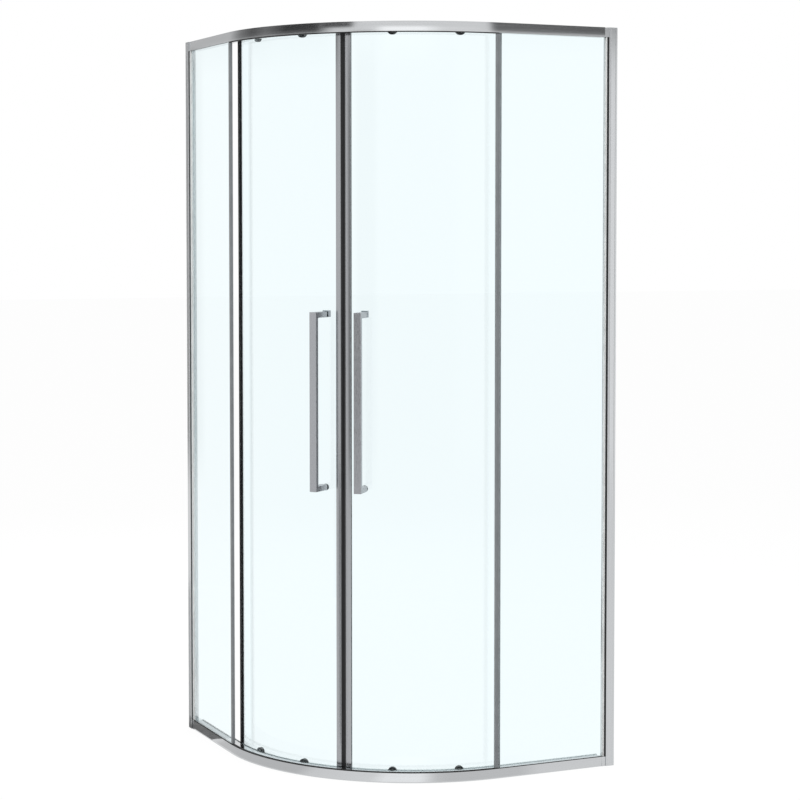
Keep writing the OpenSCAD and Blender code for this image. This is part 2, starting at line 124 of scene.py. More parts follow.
class ShowerDoors(bpy.types.PropertyGroup):
    """Sizes of the doors, their seals, handles and rollers"""
    overlap: length("Overlap", "How far a closed door reaches past the curve's start", 0.026)
    arris: length("Arris", "Ground corner along a pane's edges", 0.0008)
    stile_width: length("Stile width", "Width of a meeting stile", 0.0155)
    stile_depth: length("Stile depth", "Depth of a meeting stile", 0.012)
    stile_slope: length("Stile slope", "How far a meeting stile's outer edges stand back", 0.00105)
    seal_gap: length("Seal gap", "Half of the gap between the closed doors' seals", 0.00015)
    seal_thickness: length("Seal thickness", "Thickness of a magnetic seal", 0.0051)
    seal_width: length("Seal width", "Width of a magnetic seal", 0.011)
    clip_wall: length("Clip wall", "Wall of the clip-on seals", 0.0012)
    clip_width: length("Clip width", "Width of a trailing seal", 0.010)
    fin: length("Lip", "Reach of a trailing seal's lips", 0.0042)
    handle_offset: length("Handle place", "Distance of a handle from the meeting line", 0.06)
    handle_width: length("Handle width", "Width of a handle's bar", 0.02)
    handle_thickness: length("Handle thickness", "Thickness of a handle's bar", 0.012)
    handle_reach: length("Handle reach", "Space between a handle's bar and the pane", 0.052)
    knob: length("Knob", "Side of the square knob inside the pane", 0.018)
    roller_near: length("Trailing rollers", "Distance of the trailing rollers from the curve's start", 0.095)
    roller_far: length("Leading rollers", "Distance of the leading rollers from the curve's start", 0.291)
    carriage_width: length("Carriage width", "Width of a roller carriage", 0.028)
    carriage_height: length("Carriage height", "Height of a roller carriage", 0.028)
    guide_radius: length("Guide radius", "Radius of a bottom guide", 0.012)
    guide_rise: length("Guide rise", "How far a bottom guide's middle stands above its axle", 0.0031)


class ShowerColours(bpy.types.PropertyGroup):
    """Colours of the materials"""
    aluminium: colour("Aluminium", "Bright anodised aluminium", "#C6C8CA")
    satin: colour("Satin aluminium", "Satin anodised aluminium of the meeting stiles", "#A6A8AB")
    chrome: colour("Chrome", "Chrome plate", "#A8AAAE")
    glass: colour("Glass", "Tint of one pane seen square on", "#F3FDFF")
    glass_edge: colour("Glass edge", "Polished edge of a pane", "#8FBFB4")
    rubber: colour("Rubber", "Black EPDM rubber", "#141516")
    black_pvc: colour("Black PVC", "Soft black PVC", "#101113")
    grey_pvc: colour("Grey PVC", "Grey PVC of the clip-on seals", "#74787B")
    pale_pvc: colour("Pale PVC", "Off-white PVC of the glazing wedges", "#F4F4F3")
    clear_pvc: colour("Clear PVC", "Clear PVC of the wiper lips", "#DCE3E4")
    acetal: colour("Acetal", "Black acetal", "#18191A")
    abs: colour("ABS", "Silver-grey ABS", "#B4B7B9")
    nylon: colour("Nylon", "Natural nylon", "#E9E7E0")
    steel: colour("Steel", "Turned stainless steel", "#B9B8B4")
    ferrite: colour("Ferrite", "Plastic-bonded ferrite", "#2C2A28")


def plan():
    """The sizes of the plan and the profiles."""
    return bpy.context.scene.shower_plan


def doors():
    """The sizes of the doors and what they carry."""
    return bpy.context.scene.shower_doors


def colours():
    """The colours of the materials."""
    return bpy.context.scene.shower_colours


def centre():
    """The x, and the y, of the curve's centre."""
    return plan().corner_radius - HALF


# Materials


def add_node(tree, kind, inputs=None, **settings):
    """Adds a shader node, sets its properties, and sets its inputs or links them, to a node by its first output."""
    made = tree.nodes.new(f"ShaderNode{kind}")
    for name, value in settings.items():
        setattr(made, name, value)
    for name, value in (inputs or {}).items():
        if isinstance(value, bpy.types.Node):
            value = value.outputs[0]
        if isinstance(value, bpy.types.NodeSocket):
            tree.links.new(value, made.inputs[name])
        else:
            made.inputs[name].default_value = value
    return made


def new_material(name):
    """An empty node material and its tree."""
    material = bpy.data.materials.new(name)
    material.use_nodes = True
    material.node_tree.nodes.clear()
    return material, material.node_tree


def surfaced(material, shader):
    """The material, with a shader as its surface."""
    add_node(material.node_tree, "OutputMaterial", {"Surface": shader})
    return material


def stretched_coordinates(tree, per_metre):
    """Object coordinates scaled to so many pattern units a metre along x, y and z."""
    place = add_node(tree, "TexCoord")
    return add_node(tree, "Mapping", {"Vector": place.outputs["Object"], "Scale": per_metre})


def drawn_metal(name, shade, per_metre, roughness, line_depth):
    """Metal with fine lines or an even grain, in colour, roughness and relief."""
    material, tree = new_material(name)
    where = stretched_coordinates(tree, per_metre)
    lines = add_node(tree, "TexNoise", {"Vector": where, "Scale": 1.0, "Detail": 3.0, "Roughness": 0.6})
    tone = add_node(tree, "MapRange",
                    {"Value": lines, "From Min": 0.3, "From Max": 0.7, "To Min": 0.96, "To Max": 1.03})
    tint = add_node(tree, "VectorMath", {0: shade[:3], "Scale": tone}, operation="SCALE")
    gloss = add_node(tree, "MapRange", {"Value": lines, "From Min": 0.3, "From Max": 0.7,
                                        "To Min": roughness * 0.8, "To Max": roughness * 1.25})
    relief = add_node(tree, "Bump", {"Height": lines, "Strength": 0.5, "Distance": line_depth})
    return surfaced(material, add_node(tree, "BsdfPrincipled", {"Base Color": tint, "Metallic": 1.0,
                                                                "Roughness": gloss, "Normal": relief}))


def plastic(name, shade, roughness, grain_per_metre, grain_depth, coat=0.0):
    """Moulded or extruded plastic or rubber with a fine grain and a slight unevenness of colour."""
    material, tree = new_material(name)
    where = stretched_coordinates(tree, (1.0, 1.0, 1.0))
    grain = add_node(tree, "TexNoise", {"Vector": where, "Scale": grain_per_metre, "Detail": 2.0, "Roughness": 0.55})
    cloud = add_node(tree, "TexNoise", {"Vector": where, "Scale": 30.0, "Detail": 1.0})
    tone = add_node(tree, "MapRange",
                    {"Value": cloud, "From Min": 0.3, "From Max": 0.7, "To Min": 0.93, "To Max": 1.07})
    tint = add_node(tree, "VectorMath", {0: shade[:3], "Scale": tone}, operation="SCALE")
    gloss = add_node(tree, "MapRange", {"Value": grain, "From Min": 0.3, "From Max": 0.7,
                                        "To Min": roughness * 0.85, "To Max": roughness * 1.15})
    relief = add_node(tree, "Bump", {"Height": grain, "Strength": 0.4, "Distance": grain_depth})
    return surfaced(material, add_node(tree, "BsdfPrincipled", {
        "Base Color": tint, "Roughness": gloss, "IOR": 1.5, "Coat Weight": coat, "Coat Roughness": 0.12,
        "Normal": relief}))


def pane_glass(name, shade):
    """Clear glass with long shallow waves."""
    material, tree = new_material(name)
    where = stretched_coordinates(tree, (0.6, 0.6, 3.5))
    waves = add_node(tree, "TexNoise", {"Vector": where, "Scale": 1.0, "Detail": 0.0})
    relief = add_node(tree, "Bump", {"Height": waves, "Strength": 0.2, "Distance": 0.3 * MM})
    return surfaced(material, add_node(tree, "BsdfPrincipled", {
        "Base Color": shade, "Roughness": 0.0, "IOR": 1.5, "Transmission Weight": 1.0, "Normal": relief}))


def hazy(name, shade, per_metre, glosses, ior, clearness):
    """Clear or half clear, with a haze of uneven roughness."""
    material, tree = new_material(name)
    where = stretched_coordinates(tree, per_metre)
    haze = add_node(tree, "TexNoise", {"Vector": where, "Scale": 1.0, "Detail": 2.0})
    gloss = add_node(tree, "MapRange", {"Value": haze, "To Min": glosses[0], "To Max": glosses[1]})
    return surfaced(material, add_node(tree, "BsdfPrincipled", {
        "Base Color": shade, "Roughness": gloss, "IOR": ior, "Transmission Weight": clearness}))


# Each finish: its slot, what makes it, the material's name and its colour; then for metal the lines a metre along
# x, y and z, the roughness and the lines' depth, for plastic the roughness, the grains a metre, their depth and a
# coat, and for a haze its patches a metre, the lowest and highest roughness, the IOR and the clearness.
# Real die lines, tool marks and grains are 0.05 to 0.2 mm apart; they are drawn about 1 mm apart, so that they show.
FINISHES = {
    # Bright anodised aluminium, extruded and bent: grey-silver with faint die lines along the rail
    "rail": ("aluminium", drawn_metal, "aluminium_bright_anodised_rail", "aluminium",
             (3.0, 3.0, 700.0), 0.13, 0.02 * MM),
    # Bright anodised aluminium, extruded: die lines run up the profile
    "upright": ("aluminium", drawn_metal, "aluminium_bright_anodised_upright", "aluminium",
                (700.0, 700.0, 3.0), 0.17, 0.03 * MM),
    # Satin anodised aluminium, extruded: darker than the bright profiles
    "stile": ("aluminium", drawn_metal, "aluminium_satin_anodised_stile", "satin",
              (700.0, 700.0, 3.0), 0.18, 0.03 * MM),
    # Chrome plate on die-cast zinc, polished: a mirror with a very faint orange peel
    "chrome": ("chrome", drawn_metal, "zinc_chrome_plated_polished", "chrome", (60.0, 60.0, 60.0), 0.07, 0.02 * MM),
    # Satin chrome on die-cast zinc, brushed before plating: it mirrors only broad light and dark
    "satin_chrome": ("chrome", drawn_metal, "zinc_chrome_plated_satin", "chrome",
                     (900.0, 900.0, 60.0), 0.28, 0.03 * MM),
    # Stainless steel, turned: fine tool marks round the axles and screws
    "steel": ("steel", drawn_metal, "steel_stainless_turned", "steel", (900.0, 900.0, 900.0), 0.28, 0.04 * MM),
    # Clear toughened float glass: a pale cyan tint, and the long shallow waves of the rollers in the oven
    "pane": ("glass", pane_glass, "glass_clear_toughened_float", "glass"),
    # The ground and polished edge of a pane: green, because the eye looks along the glass there
    "pane_edge": ("glass", hazy, "glass_edge_ground_polished", "glass_edge",
                  (900.0, 900.0, 40.0), (0.12, 0.3), 1.5, 0.6),
    # Clear soft PVC, extruded: nearly colourless, and cloudy where it is thick
    "clear_pvc": ("grey_pvc", hazy, "pvc_clear_extruded", "clear_pvc", (40.0, 40.0, 400.0), (0.2, 0.4), 1.2, 1.0),
    # Black EPDM rubber, extruded: matt, with a fine grain
    "rubber": ("rubber", plastic, "rubber_epdm_extruded", "rubber", 0.62, 1500.0, 0.06 * MM),
    # Soft black PVC, extruded: a dull shine
    "black_pvc": ("black_pvc", plastic, "pvc_black_extruded", "black_pvc", 0.38, 900.0, 0.03 * MM),
    # Grey PVC, extruded: smooth and half glossy
    "grey_pvc": ("grey_pvc", plastic, "pvc_grey_extruded", "grey_pvc", 0.3, 700.0, 0.02 * MM, 0.25),
    # Off-white soft PVC, extruded: smooth, with a dull shine
    "pale_pvc": ("grey_pvc", plastic, "pvc_pale_extruded", "pale_pvc", 0.42, 800.0, 0.02 * MM),
    # Black acetal, moulded: an even sheen with a faint spark-eroded grain
    "acetal": ("black_plastic", plastic, "acetal_black_moulded", "acetal", 0.4, 1800.0, 0.05 * MM),
    # Silver-grey ABS, moulded: half glossy
    "abs": ("grey_plastic", plastic, "abs_silver_grey_moulded", "abs", 0.35, 1600.0, 0.04 * MM),
    # Natural nylon, moulded: ivory white, and slightly waxy
    "nylon": ("nylon", plastic, "nylon_natural_moulded", "nylon", 0.42, 1200.0, 0.04 * MM),
    # Plastic-bonded ferrite strip, extruded: dark brown-grey and matt
    "ferrite": ("magnet", plastic, "ferrite_plastic_bonded", "ferrite", 0.7, 1400.0, 0.05 * MM),
}
made_finishes = {}


def finish_of(finish):
    """The material of a finish, made the first time that it is asked for."""
    if finish not in made_finishes:
        make, name, shade, *measures = FINISHES[finish][1:]
        made_finishes[finish] = make(name, getattr(colours(), shade), *measures)
    return made_finishes[finish]


def dress(node, finish):
    """Gives a node of the frame its finish."""
    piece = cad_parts[node]
    for material_slot in piece.material_slots:
        material_slot.material = finish_of(finish)


# Shapes


def block(mesh, x, y, z):
    """A box between three pairs of limits."""
    verts = bmesh.ops.create_cube(mesh, size=1)["verts"]
    bmesh.ops.scale(mesh, verts=verts, vec=[b - a for a, b in (x, y, z)])
    bmesh.ops.translate(mesh, verts=verts, vec=[(a + b) / 2 for a, b in (x, y, z)])


def slab(mesh, x, depth, z):
    """A box between limits of x, depth and height."""
    block(mesh, x, (depth[0] - HALF, depth[1] - HALF), z)


def rod(mesh, start, end, radius):
    """A closed cylinder from start to end."""
    along = Vector(end) - Vector(start)
    middle = Matrix.Translation((Vector(start) + Vector(end)) / 2)
    turn = along.to_track_quat("Z", "Y").to_matrix().to_4x4()
    return bmesh.ops.create_cone(mesh, cap_ends=True, segments=32, radius1=radius, radius2=radius,
                                 depth=along.length, matrix=middle @ turn)["verts"]


def turned(outline, segments=64, at=(0, 0, 0)):
    """A shape turned about the y axis from points of y and radius in millimetres, moved to a place."""
    mesh = bmesh.new()
    verts = [mesh.verts.new((radius * MM, y * MM, 0)) for y, radius in outline]
    edges = [mesh.edges.new(pair) for pair in zip(verts, verts[1:])]
    bmesh.ops.spin(mesh, geom=verts + edges, cent=(0, 0, 0), axis=(0, 1, 0), dvec=(0, 0, 0), angle=math.tau,
                   steps=segments, use_merge=True, use_duplicate=False)
    bmesh.ops.remove_doubles(mesh, verts=mesh.verts, dist=1e-6)
    bmesh.ops.translate(mesh, verts=mesh.verts, vec=at)
    return mesh


def outline_face(mesh, points, rounding=0.0, segments=3):
    """One face through the points, with its corners made round if a rounding is given."""
    verts = [mesh.verts.new(p) for p in points]
    face = mesh.faces.new(verts)
    if rounding:
        bmesh.ops.bevel(mesh, geom=verts, offset=rounding, segments=segments, affect="VERTICES", profile=0.5,
                        material=-1, clamp_overlap=True)
        mesh.faces.ensure_lookup_table()
        face = mesh.faces[-1]
    return face


def extruded(mesh, face, by):
    """Extrudes a face by a vector, and gives back the far face."""
    made = bmesh.ops.extrude_face_region(mesh, geom=[face])["geom"]
    bmesh.ops.translate(mesh, verts=[g for g in made if isinstance(g, bmesh.types.BMVert)], vec=by)
    return next(g for g in made if isinstance(g, bmesh.types.BMFace))


def swept(mesh, face, angle, steps):
    """Turns a face about the curve's centre, and gives back the far face."""
    geometry = [face] + list(face.edges) + list(face.verts)
    made = bmesh.ops.spin(mesh, geom=geometry, cent=(centre(), centre(), 0), axis=(0, 0, 1), dvec=(0, 0, 0),
                          angle=angle, steps=steps, use_merge=False, use_duplicate=False)
    return next(g for g in made["geom_last"] if isinstance(g, bmesh.types.BMFace))


def upright(outline, low=DOOR_LOW, high=DOOR_HIGH, rounding=0.0):
    """A vertical profile from an outline of x and depth, as high as a door unless told."""
    mesh = bmesh.new()
    face = outline_face(mesh, [(x, depth - HALF, low) for x, depth in outline], rounding)
    extruded(mesh, face, (0, 0, high - low))
    return mesh


def softened(mesh, width, segments=2, sharper_than=35.0):
    """Rounds the edges that are sharper than an angle."""
    limit = math.radians(sharper_than)
    sharp = [e for e in mesh.edges if len(e.link_faces) == 2 and e.calc_face_angle(0) > limit]
    bmesh.ops.bevel(mesh, geom=sharp, offset=width, segments=segments, affect="EDGES", profile=0.5,
                    material=-1, clamp_overlap=True)
    return mesh


def turned_to(mesh, angle, verts=None):
    """Moves a piece drawn at the curve's right end, with x along it from 0, round to an angle on the curve."""
    verts = verts or mesh.verts
    bmesh.ops.translate(mesh, verts=verts, vec=(centre(), 0, 0))
    bmesh.ops.rotate(mesh, verts=verts, cent=(centre(), centre(), 0), matrix=Matrix.Rotation(-angle, 3, "Z"))
    return mesh


def object_of(mesh, name):
    """The mesh as an object of the scene."""
    data = bpy.data.meshes.new(name)
    mesh.to_mesh(data)
    mesh.free()
    made = bpy.data.objects.new(name, data)
    bpy.context.scene.collection.objects.link(made)
    return made


def cut(mesh, tools):
    """The mesh less the tools, as a new mesh."""
    for part in (mesh, tools):
        bmesh.ops.recalc_face_normals(part, faces=part.faces)
    whole, tool = object_of(mesh, "whole"), object_of(tools, "tool")
    boolean = whole.modifiers.new("cut", "BOOLEAN")
    boolean.object = tool
    boolean.operation = "DIFFERENCE"
    boolean.solver = "EXACT"
    result = bmesh.new()
    result.from_object(whole, bpy.context.evaluated_depsgraph_get())
    for made in (whole, tool):
        data = made.data
        bpy.data.objects.remove(made)
        bpy.data.meshes.remove(data)
    return result


def joined(*meshes):
    """One mesh from several."""
    whole = bmesh.new()
    for part in meshes:
        data = bpy.data.meshes.new("joining")
        part.to_mesh(data)
        part.free()
        whole.from_mesh(data)
        bpy.data.meshes.remove(data)
    return whole


def painted(mesh, index):
    """Gives all faces of a mesh a finish by its place in the piece's list."""
    for face in mesh.faces:
        face.material_index = index
    return mesh


def put_up(mesh, name, body, finishes, replaced=(), smooth_below=14.0):
    """Makes the mesh a piece of the enclosure that rides on a body and stands for nodes of the frame."""
    bmesh.ops.remove_doubles(mesh, verts=mesh.verts, dist=1e-6)
    bmesh.ops.recalc_face_normals(mesh, faces=mesh.faces)
    piece = object_of(mesh, name)
    piece.data.shade_smooth()
    piece.data.set_sharp_from_angle(angle=math.radians(smooth_below))
    for finish in finishes:
        piece.data.materials.append(finish_of(finish))
    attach(piece, body)
    if replaced:
        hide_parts(*replaced)
    return piece


def on_both_sides(draw, name, body, finishes, replaced=()):
    """Draws a piece for the right side and its mirror image for the left, and puts both up."""
    pieces = []
    for side in ("right", "left"):
        mesh = draw()
        if side == "left":
            bmesh.ops.transform(mesh, matrix=MIRRORED, verts=mesh.verts)
            bmesh.ops.reverse_faces(mesh, faces=mesh.faces)
        nodes = [f"{side}_{node}" for node in replaced]
        pieces.append(put_up(mesh, f"{side}_{name}", body.replace("SIDE", side), finishes, nodes))
    return pieces


# Rails


def rail_depths():
    """Depths at which a rail's pane pocket starts and ends, and its wheel track starts and ends."""
    size = plan()
    pocket = RAIL_FACE + size.wall
    track = pocket + size.pocket + size.wall
    return pocket, pocket + size.pocket, track, track + size.track


def rail_outline():
    """Depth and height of the points round a bottom rail's section."""
    size = plan()
    pocket, web, track, lip = rail_depths()
    back = lip + size.lip
    ledge = RAIL_TOP - size.wall
    steps = 10
    face = []
    for i in range(steps + 1):
        share = i / steps
        bulge = size.crown * (2 * share - 1) ** 2
        face.append((RAIL_FACE + bulge + size.lean * (1 - share), RAIL_TOP * share))
    return face + [
        (pocket, RAIL_TOP), (pocket, size.base), (web, size.base), (web, RAIL_TOP),
        (back, RAIL_TOP), (back, ledge - size.lip_drop), (lip, ledge - size.lip_drop), (lip, ledge),
        (track, ledge), (track, size.base), (lip, size.base), (lip, size.base + size.skirt),
        (back, size.base + size.skirt), (back, 0.0)]


def along_the_rail(mesh, outline, start_angle=None):
    """Sweeps a section of depth and height from the right post round the curve, to the left post unless told."""
    face = outline_face(mesh, [(POST_X, depth - HALF, z) for depth, z in outline])
    face = extruded(mesh, face, (centre() - POST_X, 0, 0))
    if start_angle is not None:
        swept(mesh, face, -start_angle, CURVE_STEPS // 2)
        return
    face = swept(mesh, face, -math.pi / 2, CURVE_STEPS)
    extruded(mesh, face, (0, POST_X - centre(), 0))


class SHOWER_OT_rails(bpy.types.Operator):
    """Bent aluminium rails, top and bottom, with the black strip that fills their pocket round the curve"""
    bl_idname = "shower.rails"
    bl_label = "Rails"

    def execute(self, context):
        pocket, pocket_end = rail_depths()[:2]
        margin = 0.2 * MM
        start, end = pocket + margin, pocket_end - margin
        strip_low = RAIL_TOP - 9 * MM
        outline = [(start, strip_low), (end, strip_low), (end, RAIL_TOP - 0.4 * MM),
                   ((pocket + pocket_end) / 2, RAIL_TOP + 2.6 * MM), (start, RAIL_TOP + 2 * MM)]
        for name, turn in (("bottom_rail", Matrix.Identity(4)), ("top_rail", TURNED_OVER)):
            mesh = bmesh.new()
            along_the_rail(mesh, rail_outline())
            bmesh.ops.transform(mesh, matrix=turn, verts=mesh.verts)
            put_up(mesh, f"{name}_profile", "frame", ["rail"], [name], smooth_below=28.0)

            strip = bmesh.new()
            points = [(centre(), depth - HALF, z) for depth, z in outline]
            swept(strip, outline_face(strip, points), -math.pi / 2, CURVE_STEPS)
            bmesh.ops.transform(strip, matrix=turn, verts=strip.verts)
            put_up(strip, f"{name}_pocket_strip", "frame", ["rubber"])
        return {"FINISHED"}


# Wall profiles


def grooved(start, end, depth, grooves, groove_depth):
    """Points of a straight line in x at one depth, with small v grooves cut into it."""
    points = [(start, depth)]
    direction = 1 if end > start else -1
    for place in grooves:
        half_width = 0.7 * MM * direction
        points += [(place - half_width, depth), (place, depth + groove_depth), (place + half_width, depth)]
    return points + [(end, depth)]


def wall_channel():
    """A channel that opens towards the post, with grooves in its sides and holes for the wall screws."""
    size = plan()
    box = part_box("right_wall_channel")
    front, back = 0.0, box[1].y - box[0].y
    near, far = box[0].x, box[1].x
    wall = size.channel_wall
    lines = [near + 3 * MM, near + 5.5 * MM, far - 5 * MM]
    outline = grooved(near, far, front, lines, size.groove)
    outline += grooved(far, near, back, reversed(lines), -size.groove)
    outline += [(near, back - wall), (far - wall, back - wall), (far - wall, front + wall), (near, front + wall)]
    tools = bmesh.new()
    middle = (front + back) / 2 - HALF
    for pair in (size.wall_outer_pair, size.wall_inner_pair):
        for z in ((HEIGHT - pair) / 2, (HEIGHT + pair) / 2):
            rod(tools, (far - 2 * wall, middle, z), (far + wall, middle, z), size.wall_hole)
    return softened(cut(upright(outline, box[0].z, box[1].z), tools), 0.25 * MM, 1, 60)


def post_length(near, low, high):
    """A length of the post from near to the wall."""
    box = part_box("right_wall_post")
    front, back, far = box[0].y + HALF, box[1].y + HALF, box[1].x
    pocket, pocket_end = rail_depths()[:2]
    slot = POST_X + POST_SLOT
    outline = [(near, front), (far, front), (far, back), (near, back), (near, pocket_end), (slot, pocket_end),
               (slot, pocket), (near, pocket)]
    return softened(upright(outline, low, high), 0.4 * MM, 2, 60)


def wall_post():
    """The post reaches the rails' ends above and below, and stands back between them."""
    low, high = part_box("right_wall_post")
    inner = HEIGHT - RAIL_TOP
    return joined(post_length(POST_X, low.z, RAIL_TOP), post_length(POST_X + plan().nose, RAIL_TOP, inner),
                  post_length(POST_X, inner, high.z))


def end_cover():
    """A cap on the top ends of a wall channel and its post."""
    mesh = bmesh.new()
    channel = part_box("right_wall_channel")
    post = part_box("right_wall_post")
    low = channel[1].z
    block(mesh, (channel[0].x, channel[1].x), (channel[0].y, channel[1].y), (low, HEIGHT))
    block(mesh, (post[0].x, channel[0].x - 0.1 * MM), (post[0].y, post[1].y), (low, HEIGHT - 0.3 * MM))
    return softened(mesh, 0.5 * MM)


class SHOWER_OT_wall_profiles(bpy.types.Operator):
    """Wall channels, the posts that slide in them, and the covers on their ends"""
    bl_idname = "shower.wall_profiles"
    bl_label = "Wall profiles"

    def execute(self, context):
        on_both_sides(wall_channel, "wall_channel_profile", "frame", ["upright"], ["wall_channel"])
        on_both_sides(wall_post, "wall_post_profile", "frame", ["upright"], ["wall_post"])
        covers = on_both_sides(end_cover, "end_cover", "frame", ["abs"])
        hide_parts("end_covers")
        return {"FINISHED"}


# Fixed panes


def fixed_pane():
    """A flat pane with ground edges."""
    low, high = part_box("right_fixed_glass")
    mesh = bmesh.new()
    block(mesh, (low.x, high.x), (low.y, high.y), (low.z, high.z))
    softened(mesh, doors().arris, 1)
    for face in mesh.faces:
        face.material_index = 0 if abs(face.normal.y) > 0.9 else 1
    return mesh


def glazing_gasket():
    """Rubber along a fixed pane's outer face and pale wedges along its inner one, in the rails and the post."""
    size = plan()
    pocket, pocket_end = rail_depths()[:2]
    nose, slot = POST_X + size.nose, POST_X + POST_SLOT
    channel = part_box("right_wall_channel")[0].x
    inner = HEIGHT - RAIL_TOP
    outer_lip, inner_lip, play = 1.4 * MM, 2.6 * MM, 0.1 * MM
    along, between = (centre(), POST_X), (RAIL_TOP, inner)
    rubber = bmesh.new()
    slab(rubber, along, (pocket, PANE_FRONT), (size.base, RAIL_TOP + outer_lip))
    slab(rubber, along, (pocket, PANE_FRONT), (inner - 0.2 * MM, HEIGHT - size.base))
    slab(rubber, (nose + play, channel - play), (RAIL_FACE - 0.5 * MM, RAIL_FACE), between)
    softened(rubber, 0.3 * MM)
    wedges = bmesh.new()
    slab(wedges, (nose - outer_lip, slot), (pocket, PANE_FRONT), between)
    slab(wedges, (nose - inner_lip, slot), (PANE_BACK, pocket_end), between)
    for z in ((size.base, RAIL_TOP), (inner, HEIGHT - size.base)):
        slab(wedges, along, (PANE_BACK, pocket_end), z)
    softened(wedges, 0.5 * MM)
    return joined(rubber, painted(wedges, 1))


def edge_seal():
    """A clip on the pane's free edge, with a groove along its outer face."""
    low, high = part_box("right_edge_seal")
    glass_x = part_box("right_fixed_glass")[0].x
    front, back = low.y + HALF, high.y + HALF
    near, far = low.x - 2 * MM, high.x
    outline = [(near, front), (near + 4 * MM, front), (near + 4.4 * MM, front + 0.7 * MM),
               (near + 5.6 * MM, front + 0.7 * MM), (near + 6 * MM, front), (far, front), (far, PANE_FRONT),
               (glass_x, PANE_FRONT), (glass_x, PANE_BACK), (far, PANE_BACK), (far, back), (near, back)]
    return softened(upright(outline, low.z, high.z), 0.3 * MM, 2, 60)


def lets_light_through(panes):
    """Clear glass throws no shadow, and light that bounces off the floor goes through it."""
    for pane in panes:
        pane.visible_shadow = False
        pane.visible_diffuse = False


class SHOWER_OT_fixed_panes(bpy.types.Operator):
    """Fixed panes, the rubber that holds them, and the seals on their free edges"""
    bl_idname = "shower.fixed_panes"
    bl_label = "Fixed panes"

    def execute(self, context):
        panes = on_both_sides(fixed_pane, "fixed_pane", "frame", ["pane", "pane_edge"], ["fixed_glass"])
        lets_light_through(panes)
        on_both_sides(glazing_gasket, "glazing_rubber", "frame", ["rubber", "pale_pvc"], ["glazing_gasket"])
        on_both_sides(edge_seal, "free_edge_seal", "frame", ["grey_pvc"], ["edge_seal"])
        return {"FINISHED"}


# Fittings of the frame


def wiper():
    """A soft lip along the inner top edge of the bottom rail."""
    low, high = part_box("right_wiper")
    back = rail_depths()[3] + plan().lip
    width = high.z - low.z
    mesh = bmesh.new()
    outline = [(back - width, low.z), (back, low.z), (back, low.z + 0.6 * width), (back - 0.3 * width, high.z),
               (back - 0.6 * width, high.z), (back - 0.7 * width, low.z + 0.5 * width),
               (back - width, low.z + 0.3 * width)]
    along_the_rail(mesh, outline, math.pi / 4 - 6 * MM / plan().corner_radius)
    return mesh


def adjusting_screws():
    """Three pan-head screws a side, from the room side of the channel into the post, with crosses cut into them."""
    low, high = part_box("adjusting_screws")
    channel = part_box("right_wall_channel")
    x, face = channel[0].x + 10 * MM, channel[1].y
    radius, head, shank_radius, shank = 4, 2.4, 1.9, 7
    outline = [(head, 0), (head, radius * 0.6), (head * 0.75, radius * 0.9), (head * 0.3, radius), (0, radius),
               (0, shank_radius), (-shank, shank_radius), (-shank - shank_radius, 0)]
    arm, thick = radius * 0.55 * MM, radius * 0.12 * MM
    screws, tools = [], bmesh.new()
    for z in (low.z + radius * MM, HEIGHT / 2, high.z - radius * MM):
        screws.append(turned(outline, 40, (x, face, z)))
        block(tools, (x - arm, x + arm), (face + head * 0.35 * MM, face + head * 2 * MM), (z - thick, z + thick))
        block(tools, (x - thick, x + thick), (face + head * 0.36 * MM, face + head * 2 * MM), (z - arm, z + arm))
    return cut(joined(*screws), tools)


def door_stop():
    """A rubber buffer in the top track, chamfered where the wheel meets it."""
    low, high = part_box("door_stops")
    start, length_along = centre() + 182.3 * MM, 14 * MM
    mesh = bmesh.new()
    slab(mesh, (start, start + length_along), rail_depths()[2:], (low.z, high.z))
    return softened(mesh, 1.2 * MM, 3)


class SHOWER_OT_frame_fittings(bpy.types.Operator):
    """Wipers, adjusting screws, corner blocks with their screws, and the stops in the top track"""
    bl_idname = "shower.frame_fittings"
    bl_label = "Frame fittings"

    def execute(self, context):
        on_both_sides(wiper, "wiper_lip", "frame", ["clear_pvc"], ["wiper"])
        screws = on_both_sides(adjusting_screws, "adjusting_screw_set", "frame", ["steel"])
        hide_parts("adjusting_screws")
        stops = on_both_sides(door_stop, "door_stop", "frame", ["rubber"])
        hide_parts("door_stops")
        dress("corner_blocks", "acetal")
        dress("corner_screws", "steel")
        return {"FINISHED"}


# Doors


def meeting_x():
    """Where the pane starts, measured from the meeting plane."""
    size = doors()
    return size.seal_gap + size.seal_thickness + 3 * MM


def roller_angles():
    """Places of a door's trailing and leading rollers on the curve."""
    return [distance / plan().corner_radius for distance in (doors().roller_near, doors().roller_far)]


def handle_angle():
    """Place of a handle on the curve."""
    return math.pi / 4 - doors().handle_offset / plan().corner_radius


